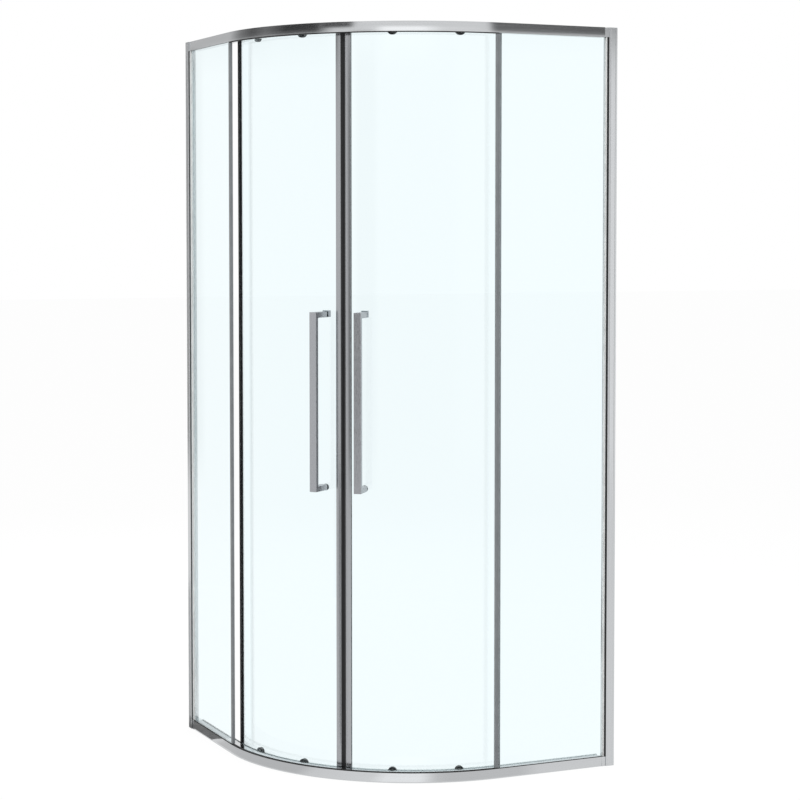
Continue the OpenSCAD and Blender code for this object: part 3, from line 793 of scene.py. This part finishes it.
def door_pane():
    """A curved pane with ground edges and holes for the axles and the handle's bolts."""
    size = doors()
    radius = plan().corner_radius
    start = math.pi / 4 - meeting_x() / (radius - DOOR_FRONT)
    end = -size.overlap / radius
    mesh = bmesh.new()
    a = size.arris
    outline = [(DOOR_FRONT + a, DOOR_LOW), (DOOR_BACK - a, DOOR_LOW), (DOOR_BACK, DOOR_LOW + a),
               (DOOR_BACK, DOOR_HIGH - a), (DOOR_BACK - a, DOOR_HIGH), (DOOR_FRONT + a, DOOR_HIGH),
               (DOOR_FRONT, DOOR_HIGH - a), (DOOR_FRONT, DOOR_LOW + a)]
    face = outline_face(mesh, [(centre(), depth - HALF, z) for depth, z in outline])
    bmesh.ops.rotate(mesh, verts=mesh.verts, cent=(centre(), centre(), 0), matrix=Matrix.Rotation(-end, 3, "Z"))
    swept(mesh, face, -(start - end), DOOR_STEPS)
    tools = bmesh.new()
    foot = size.handle_thickness / 2
    axle_hole, bolt_hole, beyond = 4.3 * MM, 5 * MM, 4 * MM
    holes = [(angle, z, axle_hole) for angle in roller_angles() for z in (AXLE_Z, HEIGHT - AXLE_Z)]
    holes += [(handle_angle(), z, bolt_hole) for z in (HANDLE_LOW + foot, HANDLE_HIGH - foot)]
    for angle, z, hole in holes:
        verts = rod(tools, (0, DOOR_FRONT - beyond - HALF, z), (0, DOOR_BACK + beyond - HALF, z), hole)
        turned_to(tools, angle, verts)
    mesh = cut(mesh, tools)
    middle = Vector((centre(), centre(), 0))
    for face in mesh.faces:
        outward = face.calc_center_median() - middle
        outward.z = 0
        face.normal_update()
        face.material_index = 0 if abs(face.normal.dot(outward.normalized())) > 0.9 else 1
    return mesh


def meeting_stile():
    """Grips the pane's leading edge and holds the tongue of the magnetic seal."""
    size = doors()
    middle = (DOOR_FRONT + DOOR_BACK) / 2
    front, back = middle - size.stile_depth / 2, middle + size.stile_depth / 2
    near = size.seal_gap + size.seal_thickness
    far = near + size.stile_width
    slot = meeting_x()
    fit = 0.1 * MM
    tongue, tongue_depth = 1.6 * MM, 2.1 * MM
    line = size.stile_slope
    outline = [(near, front + 0.4 * MM), (near + 1.2 * MM, front), (near + 2.2 * MM, front),
               (near + 2.6 * MM, front + 0.5 * MM), (near + 3.0 * MM, front + 0.1 * MM),
               (near + 9.5 * MM, front + 0.2 * MM), (far, front + line), (far, DOOR_FRONT - fit),
               (slot, DOOR_FRONT - fit), (slot, DOOR_BACK + fit), (far, DOOR_BACK + fit), (far, back - line),
               (near + 3.0 * MM, back), (near, back), (near, middle + tongue),
               (near + tongue_depth, middle + tongue), (near + tongue_depth, middle - tongue),
               (near, middle - tongue)]
    return turned_to(softened(upright(outline), 0.3 * MM, 2, 50), math.pi / 4)


def magnetic_seal():
    """Soft seal with a rounded nose and a tongue that snaps into the stile."""
    size = doors()
    middle = (DOOR_FRONT + DOOR_BACK) / 2
    front, back = middle - size.seal_width / 2, middle + size.seal_width / 2
    near = size.seal_gap
    far = near + size.seal_thickness
    outline = [(near + 1.1 * MM, front), (far - 0.4 * MM, front), (far - 0.4 * MM, front + 0.9 * MM),
               (far, front + 0.9 * MM), (far, middle - 1.5 * MM), (far + 2 * MM, middle - 1.5 * MM),
               (far + 2 * MM, middle + 1.5 * MM), (far, middle + 1.5 * MM), (far, back - 0.9 * MM),
               (far - 0.4 * MM, back - 0.9 * MM), (far - 0.4 * MM, back), (near + 1.1 * MM, back),
               (near + 0.3 * MM, back - 0.6 * MM), (near, back - 1.8 * MM), (near, front + 1.8 * MM),
               (near + 0.3 * MM, front + 0.6 * MM)]
    body = softened(upright(outline), 0.2 * MM, 2, 50)
    for face, out in ((front, -MM), (back, MM)):
        lip = [(far - 2.5 * MM, face - 0.2 * out), (far - 2 * MM, face + 1.1 * out), (far + 1 * MM, face + 1.1 * out),
               (far + 1.1 * MM, face + 0.55 * out), (far, face + 0.5 * out), (far, face - 0.2 * out)]
        body = joined(body, upright(lip))
    return turned_to(body, math.pi / 4)


def trailing_seal():
    """A clip on the pane's trailing edge, lined with soft black PVC that ends in a lip on each face of the pane."""
    size = doors()
    wall = size.clip_wall
    fit = 0.15 * MM
    near, far = wall - size.clip_width, wall
    front, back = DOOR_FRONT - wall, DOOR_BACK + wall
    outline = [(near, front), (far, front), (far, back), (near, back), (near, DOOR_BACK + fit),
               (0.0, DOOR_BACK + fit), (0.0, DOOR_FRONT - fit), (near, DOOR_FRONT - fit)]
    clip = upright(outline, rounding=0.35 * MM)
    for face in clip.faces:
        middle = face.calc_center_median()
        depth = middle.y + HALF
        face.material_index = 1 if front + 0.2 * MM < depth < back - 0.2 * MM and middle.x < 0.1 * MM else 0
    lips = bmesh.new()
    mouth = (near - 1.4 * MM, near + 0.6 * MM)
    for depth in ((front - size.fin, DOOR_FRONT - fit), (DOOR_BACK + fit, back + 0.6 * size.fin)):
        slab(lips, mouth, depth, (DOOR_LOW, DOOR_HIGH))
    softened(lips, 0.4 * MM)
    return turned_to(joined(clip, painted(lips, 1)), -size.overlap / plan().corner_radius)


class SHOWER_OT_door_panes(bpy.types.Operator):
    """Curved door panes with their meeting stiles, magnetic seals and trailing seals"""
    bl_idname = "shower.door_panes"
    bl_label = "Door panes"

    def execute(self, context):
        panes = on_both_sides(door_pane, "door_pane", "SIDE_door", ["pane", "pane_edge"], ["door_glass"])
        lets_light_through(panes)
        on_both_sides(meeting_stile, "stile_profile", "SIDE_door", ["stile"], ["meeting_stile"])
        on_both_sides(magnetic_seal, "magnetic_seal", "SIDE_door", ["black_pvc"], ["magnet_seal"])
        on_both_sides(trailing_seal, "lip_seal", "SIDE_door", ["grey_pvc", "black_pvc"], ["trailing_seal"])
        for side in ("left", "right"):
            dress(f"{side}_magnet", "ferrite")
        return {"FINISHED"}


# Handles


def handle():
    """A square bar cast in one with its two feet, which stand on rubber pads."""
    size = doors()
    pad_depth, rim = DOOR_FRONT - 4.5 * MM, 0.6 * MM
    bar = DOOR_FRONT - size.handle_reach
    front = bar - size.handle_thickness
    low, high, foot = HANDLE_LOW, HANDLE_HIGH, size.handle_thickness + 3 * MM
    outline = [(front, low), (pad_depth, low), (pad_depth, low + foot), (bar, low + foot), (bar, high - foot),
               (pad_depth, high - foot), (pad_depth, high), (front, high)]
    half_width = size.handle_width / 2
    mesh = bmesh.new()
    face = outline_face(mesh, [(-half_width, depth - HALF, z) for depth, z in outline])
    extruded(mesh, face, (2 * half_width, 0, 0))
    softened(mesh, 0.9 * MM, 3)
    pads = bmesh.new()
    for bottom in (low, high - foot):
        slab(pads, (rim - half_width, half_width - rim), (pad_depth, DOOR_FRONT - 1 * MM),
             (bottom + rim, bottom + foot - rim))
    return turned_to(joined(mesh, painted(pads, 1)), handle_angle())


def inner_seat():
    """Depth of the face that the inner fittings of a door stand on."""
    washer = 1.08 * MM
    return DOOR_BACK + washer


def handle_knob():
    """Square knob on the upper bolt."""
    side = doors().knob / 2
    seat = inner_seat()
    z = HANDLE_HIGH - doors().handle_thickness / 2
    mesh = bmesh.new()
    slab(mesh, (-side, side), (seat, seat + 14 * MM), (z - side, z + side))
    return turned_to(softened(mesh, 1.2 * MM, 3), handle_angle())


def handle_nut():
    """Round cap nut on the lower bolt, with a coin slot."""
    seat = inner_seat()
    z = HANDLE_LOW + doors().handle_thickness / 2
    mesh = turned([(0, 0), (0, 9), (2.6, 9), (3.6, 8.2), (4, 6.8), (4, 0)], at=(0, seat - HALF, z))
    slot = bmesh.new()
    slab(slot, (-6 * MM, 6 * MM), (seat + 3 * MM, seat + 6 * MM), (z - 0.7 * MM, z + 0.7 * MM))
    return turned_to(cut(mesh, slot), handle_angle())


class SHOWER_OT_handles(bpy.types.Operator):
    """Bar handles with their knobs, nuts, washers and bolts"""
    bl_idname = "shower.handles"
    bl_label = "Handles"

    def execute(self, context):
        on_both_sides(handle, "bar_handle", "SIDE_door", ["satin_chrome", "rubber"], ["handle"])
        on_both_sides(handle_knob, "square_knob", "SIDE_door", ["satin_chrome"], ["handle_knob"])
        on_both_sides(handle_nut, "cap_nut", "SIDE_door", ["chrome"], ["handle_nut"])
        for side in ("left", "right"):
            dress(f"{side}_handle_washers", "rubber")
            dress(f"{side}_handle_bolts", "steel")
        return {"FINISHED"}


# Rollers


def at_both_rollers(*drawn):
    """The drawings at both rollers of a door as one mesh; the first takes the first finish, and so on."""
    parts = []
    for angle in roller_angles():
        for index, draw in enumerate(drawn):
            parts.append(painted(turned_to(draw(), angle), index))
    return joined(*parts)


def carriages():
    """Oblong housings of the top rollers, each with a cap over the axle."""
    half_width, half_height = doors().carriage_width / 2, doors().carriage_height / 2
    seat = inner_seat() - HALF
    middle = HEIGHT - 3 * MM - half_height
    thickness, corner, rim, recess = 9 * MM, 13 * MM, 2.2 * MM, 1.0 * MM

    def housing():
        """A rounded block with a raised rim."""
        mesh = bmesh.new()
        corners = [(half_width, -half_height), (half_width, half_height), (-half_width, half_height),
                   (-half_width, -half_height)]
        face = outline_face(mesh, [(x, seat, middle + z) for x, z in corners], corner, 8)
        front = extruded(mesh, face, (0, thickness, 0))
        bmesh.ops.inset_region(mesh, faces=[front], thickness=rim, depth=0)
        bmesh.ops.translate(mesh, verts=list(front.verts), vec=(0, -recess, 0))
        return softened(mesh, 0.7 * MM)

    def cap():
        """A domed cap."""
        return turned([(0, 0), (0, 7), (1.2, 7), (1.9, 6.4), (2.1, 5), (1.5, 4.2), (1.5, 0)],
                      at=(0, seat + 6.9 * MM, HEIGHT - AXLE_Z))

    return at_both_rollers(housing, cap)


def guides():
    """Bottom guides: a black ring round a bright button."""
    place = (0, inner_seat() - HALF, AXLE_Z + doors().guide_rise)
    radius = doors().guide_radius / MM

    def ring():
        """The grip."""
        return turned([(0, 0), (0, radius - 1), (1, radius), (9, radius), (11.2, radius - 1), (12, radius - 2.4),
                       (12, 8), (10.6, 7.4), (10.4, 0)], at=place)

    def button():
        """The button that lets the guide go."""
        return turned([(9, 0), (9, 6.8), (11.2, 6.8), (11.8, 6.2), (11.8, 3.4), (11, 2.8), (11, 0)], at=place)

    return at_both_rollers(ring, button)


def wheel(angle, z):
    """Nylon tyre with a rounded tread on a steel bush, counterbored for the axle's head."""
    width, radius, bush_radius, bore, inset = 4, 8, 4.4, 3.05, 1.4
    outer_face = 21.7 * MM
    place = (0, outer_face - HALF, z)
    tyre = turned([(inset, 4.9), (0.4, 4.9), (0, 5.3), (0, radius - 0.7), (0.25, radius - 0.2), (0.8, radius),
                   (width - 0.8, radius), (width - 0.25, radius - 0.2), (width, radius - 0.7), (width, 4.6),
                   (width - 0.3, bush_radius), (inset, bush_radius), (inset, 4.9)], at=place)
    bush = turned([(inset, bore), (inset, bush_radius), (width - 0.1, bush_radius), (width - 0.1, 3.3),
                   (width - 0.3, bore), (inset, bore)], at=place)
    return turned_to(joined(tyre, painted(bush, 1)), angle)


class SHOWER_OT_rollers(bpy.types.Operator):
    """Top roller carriages, bottom guides, axles and wheels"""
    bl_idname = "shower.rollers"
    bl_label = "Rollers"

    def execute(self, context):
        on_both_sides(carriages, "roller_carriage", "SIDE_door", ["acetal", "abs"], ["carriages"])
        on_both_sides(guides, "bottom_guide", "SIDE_door", ["acetal", "chrome"], ["guides"])
        for side in ("left", "right"):
            dress(f"{side}_axles", "steel")
            dress(f"{side}_axle_washers", "nylon")
        for place, angle in zip(("near", "far"), roller_angles()):
            for kind, z in (("wheel", HEIGHT - AXLE_Z), ("guide_wheel", AXLE_Z)):
                on_both_sides(lambda: wheel(angle, z), f"{place}_{kind}_tyre", f"SIDE_{place}_{kind}",
                              ["nylon", "steel"], [f"{place}_{kind}"])
        return {"FINISHED"}


# Stage

# The camera, worked out from both rails and the upright lines in the photograph
CAMERA_PLACE = (-2.4412, -5.4249, 1.4364)
CAMERA_YAW = 24.4045
CAMERA_PITCH = 2.97
CAMERA_LENS = 96.478
CAMERA_SHIFT = -0.07
# What the lamps look at
AIM = (0, 0, 0.9)
# Name, place, size in metres and power in watts of each lamp
LAMPS = (("key", (-2.6, -3.4, 3.0), 2.2, 62), ("fill", (3.2, -2.6, 2.6), 2.6, 34), ("back", (0.6, 3.6, 3.0), 2.6, 26))
# The white world's strength as light on the enclosure, while it is seen at 1
WORLD_LIGHT = 0.62
FLOOR_REACH = 40
# The glowing ring of painted reflections: its radius, its foot and its height
REFLECTION_RING_RADIUS = 3.0
REFLECTION_RING_LOW = 0.02
REFLECTION_RING_HEIGHT = 3.1


def flat_sheet(name, corners, z, material):
    """A level sheet of the stage with the given corners."""
    mesh = bmesh.new()
    outline_face(mesh, [(x, y, z) for x, y in corners])
    sheet = object_of(mesh, name)
    sheet.data.materials.append(material)
    return sheet


def square(reach):
    """Corners of a square round the middle of the plan."""
    return [(-reach, -reach), (reach, -reach), (reach, reach), (-reach, reach)]


def hidden_from(piece, *kinds):
    """Keeps rays of some kinds from seeing a piece of the stage."""
    for kind in kinds:
        setattr(piece, f"visible_{kind}", False)


def glowing_reflection_sheet(name, darkest, lightest):
    """Glowing material whose tone wanders a little, for sheets that paint reflections: no lamp lights it."""
    material, tree = new_material(name)
    where = stretched_coordinates(tree, (1.0, 1.0, 1.0))
    tone_wander = add_node(tree, "TexNoise", {"Vector": where, "Scale": 60.0, "Detail": 2.0})
    tone = add_node(tree, "MapRange", {"Value": tone_wander, "To Min": darkest, "To Max": lightest})
    return surfaced(material, add_node(tree, "Emission", {"Color": (1, 1, 1, 1), "Strength": tone}))


def seen_directly(tree):
    """1 for rays from the camera, off gloss and through glass, and 0 for the rest."""
    path = add_node(tree, "LightPath")
    seen = path.outputs["Is Camera Ray"]
    for kind in ("Glossy", "Transmission"):
        seen = add_node(tree, "Math", {0: seen, 1: path.outputs[f"Is {kind} Ray"]}, operation="MAXIMUM")
    return seen


def white_world(diffuse_strength):
    """White where it is seen, and a softer white light on the object."""
    world = bpy.data.worlds.new("white_studio")
    world.use_nodes = True
    tree = world.node_tree
    tree.nodes.clear()
    strength = add_node(tree, "MapRange", {"Value": seen_directly(tree), "To Min": diffuse_strength, "To Max": 1.0})
    light = add_node(tree, "Background", {"Color": (1, 1, 1, 1), "Strength": strength})
    output = add_node(tree, "OutputWorld", {"Surface": light})
    output.is_active_output = True
    bpy.context.scene.world = world


def floor_paint():
    """White floor paint: matt, and lifted to the background's white where it is seen, so that only shadows show."""
    material, tree = new_material("floor_white_matt")
    where = stretched_coordinates(tree, (1.0, 1.0, 1.0))
    mottle = add_node(tree, "TexNoise", {"Vector": where, "Scale": 3.0, "Detail": 2.0})
    tone = add_node(tree, "MapRange", {"Value": mottle, "To Min": 0.84, "To Max": 0.88})
    seen = seen_directly(tree)
    shade = add_node(tree, "MapRange", {"Value": seen, "To Min": tone, "To Max": 0.12})
    paint = add_node(tree, "BsdfDiffuse", {"Color": shade})
    lift = add_node(tree, "MapRange", {"Value": seen, "To Min": 0.0, "To Max": 0.91})
    glow = add_node(tree, "Emission", {"Color": (1, 1, 1, 1), "Strength": lift})
    return surfaced(material, add_node(tree, "AddShader", {0: paint, 1: glow}))


def toned(tree, around, stops):
    """Brightness that follows the compass, from pairs of an angle in degrees and a tone."""
    made = add_node(tree, "ValToRGB", {"Fac": around})
    ramp = made.color_ramp
    ramp.elements.remove(ramp.elements[-1])
    first = ramp.elements[0]
    for angle, tone in stops:
        element = ramp.elements.new(angle / 360) if angle else first
        element.color = (tone, tone, tone, 1)
    return made


def compass(tree):
    """Share of a turn round the stage, counted from +x and anticlockwise from above, and the place."""
    place = add_node(tree, "TexCoord").outputs["Object"]
    half_turn = add_node(tree, "Mapping", {"Vector": place, "Rotation": (0, 0, math.pi)})
    turn = add_node(tree, "TexGradient", {"Vector": half_turn}, gradient_type="RADIAL")
    return turn.outputs["Fac"], place


def printed_card():
    """Floor sheet that glows in greys, some brighter than white, a painted reflection that the bottom rail mirrors."""
    material, tree = new_material("card_printed_grey")
    tone = toned(tree, compass(tree)[0], [(0, 1.0), (150, 1.0), (155, 0.77), (205, 0.77), (212, 0.98), (236, 1.06),
                                          (242, 1.3), (255, 1.32), (261, 0.9), (266, 0.83), (291, 0.85), (297, 1.0)])
    return surfaced(material, add_node(tree, "Emission", {"Color": tone, "Strength": 1.0}))


def beside_the_rail(offset):
    """Corners of a line that follows the front of the bottom rail at a distance from it."""
    radius = HALF + centre() + offset
    steps = 24
    turns = [i * math.pi / 2 / steps for i in range(steps + 1)]
    bend = [(centre() - radius * math.sin(turn), centre() - radius * math.cos(turn)) for turn in turns]
    return [(HALF, -HALF - offset)] + bend + [(-HALF - offset, HALF)]


def studio_screens():
    """Painted reflections on a glowing ring: white with black flag bands, under a band of grey and glowing bright
    panels that the top rail mirrors.
    """
    material, tree = new_material("screen_fabric_printed")
    around, place = compass(tree)
    reflected_flags = toned(tree, around, [(0, 1.0), (88, 1.0), (90, 0.05), (114.4, 0.05), (114.8, 1.0), (212, 1.0),
                                 (215, 0.3), (224, 0.3), (227, 1.0), (270, 1.0), (277, 1.2),
                                 (306, 1.2), (309, 0.1), (346, 0.1), (350, 1.0)])
    # Painted highlights: the bright panels glow above white, up to 1.65
    reflected_panels = toned(tree, around, [(0, 0.8), (100, 0.7), (120, 0.68), (133, 0.28), (145, 0.12), (157, 0.24), (172, 0.06),
                                  (193, 0.06), (203, 1.0), (226, 1.08), (232, 1.65), (252, 1.65), (263, 1.12),
                                  (289, 1.0), (292, 0.18), (340, 0.18), (350, 0.8)])
    # Painted shade: darkens the panels' reflection over one stretch of the compass, high up
    reflection_shade = toned(tree, around, [(0, 1.0), (192, 1.0), (196, 0.1), (213, 0.1), (215, 1.0)])
    height = add_node(tree, "SeparateXYZ", {"Vector": place}).outputs["Z"]
    # Painted shade: a dark band low down that the bottom rail mirrors
    low = toned(tree, around, [(0, 1.0), (198.5, 1.0), (200, 0.1), (205, 0.1), (206.5, 1.0)])
    raised = add_node(tree, "MapRange", {"Value": height, "From Min": 0.4, "From Max": 0.62})
    skirt = add_node(tree, "MixRGB", {0: raised, 1: low, 2: reflected_flags})
    lowered = add_node(tree, "MapRange", {"Value": height, "From Min": 2.4, "From Max": 2.5})
    shaded = add_node(tree, "MixRGB", {0: lowered, 1: reflected_panels, 2: reflection_shade},
                      blend_type="DARKEN")
    edge = toned(tree, around, [(0, 2.06), (289, 2.06), (291, 2.1)])
    over = add_node(tree, "Math", {0: height, 1: edge}, operation="SUBTRACT")
    above = add_node(tree, "MapRange", {"Value": over, "From Min": 0.0, "From Max": 0.18})
    tone = add_node(tree, "MixRGB", {0: above, 1: skirt, 2: shaded})
    return surfaced(material, add_node(tree, "Emission", {"Color": tone, "Strength": 1.0}))


def ring_of_reflections():
    """The upright ring of painted reflections round the enclosure."""
    mesh = bmesh.new()
    made = bmesh.ops.create_circle(mesh, segments=180, radius=REFLECTION_RING_RADIUS)
    bmesh.ops.translate(mesh, verts=made["verts"], vec=(0, 0, REFLECTION_RING_LOW))
    top = bmesh.ops.extrude_edge_only(mesh, edges=mesh.edges[:])["geom"]
    bmesh.ops.translate(mesh, verts=[g for g in top if isinstance(g, bmesh.types.BMVert)], vec=(0, 0, REFLECTION_RING_HEIGHT))
    screens = object_of(mesh, "studio_screens")
    screens.data.materials.append(studio_screens())
    return screens


def hang_lamps():
    """Soft lamps that light the enclosure and the floor and are mirrored nowhere."""
    for name, place, size, power in LAMPS:
        light = bpy.data.lights.new(name, "AREA")
        light.shape = "SQUARE"
        light.size = size
        light.energy = power
        lamp = bpy.data.objects.new(name, light)
        lamp.location = place
        lamp.rotation_euler = (Vector(AIM) - lamp.location).to_track_quat("-Z", "Y").to_euler()
        hidden_from(lamp, "camera", "glossy", "transmission")
        bpy.context.scene.collection.objects.link(lamp)


def set_camera():
    """The camera at the photograph's angle."""
    lens = bpy.data.cameras.new("camera")
    lens.lens = CAMERA_LENS
    lens.sensor_width = 36
    lens.shift_y = CAMERA_SHIFT
    camera = bpy.data.objects.new("camera", lens)
    camera.location = CAMERA_PLACE
    camera.rotation_euler = (math.radians(90 - CAMERA_PITCH), 0, math.radians(-CAMERA_YAW))
    bpy.context.scene.collection.objects.link(camera)
    bpy.context.scene.camera = camera


class SHOWER_OT_stage(bpy.types.Operator):
    """White floor and world, soft lamps, glowing sheets and a ring of painted reflections, and the camera at the
    photograph's angle
    """
    bl_idname = "shower.stage"
    bl_label = "Stage"

    def execute(self, context):
        context.scene.view_settings.view_transform = "Standard"
        white_world(WORLD_LIGHT)
        floor = flat_sheet("floor", square(FLOOR_REACH), -0.2 * MM, floor_paint())
        # The dark sheet, a painted reflection that the left wall profiles mirror, lies beside them and widens behind
        # them
        card = flat_sheet("card", [(-0.505, 0.27), (-0.449, 0.27), (-0.449, 0.46), (0.2, 2.95), (-1.29, 2.885),
                                   (-0.505, 0.589)], 0.5 * MM, glowing_reflection_sheet("card_black_matt", 0.1, 0.34))
        # The grey sheet is a painted reflection, mirrored by the lower part of the left meeting stile
        runner = flat_sheet("runner", [(-0.567, -0.401), (-2.718, -1.27), (-2.805, -1.02), (-0.577, -0.373)],
                            0.2 * MM, glowing_reflection_sheet("card_grey_matt", 0.05, 0.15))
        # A glowing sheet beside the bottom rail: a painted reflection, seen only in the rail's face
        rail_reflection_sheet = flat_sheet("printed_card", beside_the_rail(1 * MM) + beside_the_rail(0.2)[::-1], 0.3 * MM,
                             printed_card())
        # The ceiling, a sheet that glows brighter than white as a painted reflection, closes the ring
        ceiling = flat_sheet("ceiling", square(REFLECTION_RING_RADIUS), REFLECTION_RING_LOW + REFLECTION_RING_HEIGHT + 0.02,
                             glowing_reflection_sheet("card_white_matt", 1.6, 1.8))
        mirrored = (card, runner, rail_reflection_sheet, ceiling, ring_of_reflections())
        for piece in mirrored:
            hidden_from(piece, "camera", "diffuse", "transmission", "shadow", "volume_scatter")
        hang_lamps()
        set_camera()
        return {"FINISHED"}


class SHOWER_PT_panel(bpy.types.Panel):
    """Sizes, colours and one button for each group of pieces"""
    bl_idname = "SHOWER_PT_panel"
    bl_label = "Quadrant shower enclosure"
    bl_space_type = "VIEW_3D"
    bl_region_type = "UI"
    bl_category = "Shower"

    def draw(self, context):
        for step in STEPS:
            self.layout.operator(step.bl_idname)
        for group in (context.scene.shower_plan, context.scene.shower_doors, context.scene.shower_colours):
            box = self.layout.box()
            for name in group.__annotations__:
                box.prop(group, name)


STEPS = (SHOWER_OT_stage, SHOWER_OT_rails, SHOWER_OT_wall_profiles, SHOWER_OT_fixed_panes,
         SHOWER_OT_frame_fittings, SHOWER_OT_door_panes, SHOWER_OT_handles, SHOWER_OT_rollers)
CLASSES = (ShowerPlan, ShowerDoors, ShowerColours) + STEPS + (SHOWER_PT_panel,)


def register():
    for made in CLASSES:
        bpy.utils.register_class(made)
    bpy.types.Scene.shower_plan = PointerProperty(type=ShowerPlan)
    bpy.types.Scene.shower_doors = PointerProperty(type=ShowerDoors)
    bpy.types.Scene.shower_colours = PointerProperty(type=ShowerColours)


def unregister():
    del bpy.types.Scene.shower_plan
    del bpy.types.Scene.shower_doors
    del bpy.types.Scene.shower_colours
    for made in reversed(CLASSES):
        bpy.utils.unregister_class(made)


def main():
    register()
    for step in STEPS:
        group, name = step.bl_idname.split(".")
        getattr(getattr(bpy.ops, group), name)()


if __name__ == "__main__":
    main()
